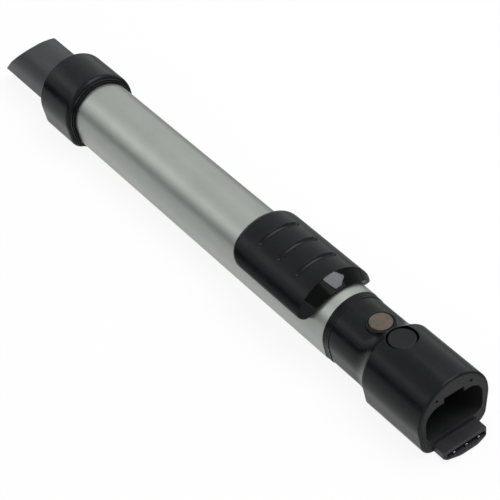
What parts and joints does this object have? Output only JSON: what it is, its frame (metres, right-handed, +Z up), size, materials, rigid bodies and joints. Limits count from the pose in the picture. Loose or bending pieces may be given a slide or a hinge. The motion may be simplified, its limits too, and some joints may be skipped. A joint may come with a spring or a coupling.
{
  "type": "telescopic vacuum wand",
  "caption": "Telescopic vacuum cleaner wand with a D-shaped aluminium tube, a slider grip that frees the inner tube, and a powered socket for the hose handle.",
  "frame": {"origin": "on the surface that the wand lies on, below the middle of the collapsed wand", "axes": "+X along the wand towards the mouth of the handle socket, +Y across it, +Z up through the slider grip"},
  "size_m": [0.6026, 0.066, 0.0653],
  "materials": {
    "satin_aluminium": "satin anodised",
    "charcoal_tube": "dark anodised",
    "black_plastic": "fine semi-matt",
    "gloss_black": "polished",
    "grey_arrow": "polished",
    "liner_plastic": "matt",
    "seal_rubber": "matt",
    "steel": "plain",
    "silver_cap": "spun",
    "contact_metal": "plated"
  },
  "bodies": {
    "wand": {"outer_tube": "satin_aluminium", "end_collar": "black_plastic", "collar_screws": "steel", "guide_bush": "liner_plastic", "wiper_seal": "seal_rubber", "latch_housing": "liner_plastic", "lock_spring": "steel", "socket_housing": "black_plastic", "neck_screws": "steel", "neck_seal": "seal_rubber", "socket_liner": "liner_plastic", "liner_screws": "steel", "plug_tongue": "black_plastic", "contact_pins": "contact_metal", "catch_pin": "steel", "release_spring": "steel", "switch_body": "liner_plastic", "switch_spring": "steel", "spring_anchor": "steel", "anchor_rivets": "steel", "grip_springs": "steel"},
    "slider": {"slider_grip": "black_plastic", "grip_front": "gloss_black", "grip_arrow": "grey_arrow", "slider_shoe": "liner_plastic", "release_strip": "steel", "strip_rivets": "steel"},
    "lock": {"lock_bolt": "steel"},
    "inner": {"inner_tube": "charcoal_tube", "rear_glide": "liner_plastic", "rear_seal": "seal_rubber", "floor_connector": "liner_plastic", "floor_contacts": "contact_metal"},
    "release": {"release_button": "gloss_black"},
    "catch": {"handle_catch": "liner_plastic"},
    "switch": {"switch_cap": "silver_cap"}
  },
  "joints": [
    {"name": "telescope", "type": "slide", "parent": "wand", "child": "inner", "axis": [-1, 0, 0], "range_m": [0, 0.252]},
    {"name": "grip_slide", "type": "slide", "parent": "wand", "child": "slider", "axis": [1, 0, 0], "range_m": [0, 0.008], "stiffness_N_per_m": 400, "springref_m": -0.006, "deforming": ["grip_springs"]},
    {"name": "lock_lift", "type": "slide", "parent": "wand", "child": "lock", "axis": [0, 0, 1], "range_m": [0, 0.0024], "deforming": ["lock_spring"]},
    {"name": "release_press", "type": "slide", "parent": "wand", "child": "release", "axis": [0, 0, -1], "range_m": [0, 0.002], "stiffness_N_per_m": 600, "springref_m": -0.002, "deforming": ["release_spring"]},
    {"name": "catch_rock", "type": "hinge", "parent": "wand", "child": "catch", "pos_m": [0.24975, 0, 0.0516], "axis": [0, -1, 0], "range_deg": [0, 6.2]},
    {"name": "switch_press", "type": "slide", "parent": "wand", "child": "switch", "axis": [0, 0, -1], "range_m": [0, 0.0016], "stiffness_N_per_m": 600, "springref_m": -0.002, "deforming": ["switch_spring"]}
  ],
  "couplings": [
    {"joint": "lock_lift", "follows": "grip_slide", "ratio": 0.3},
    {"joint": "catch_rock", "follows": "release_press", "rad_per_m": 53.763}
  ]
}
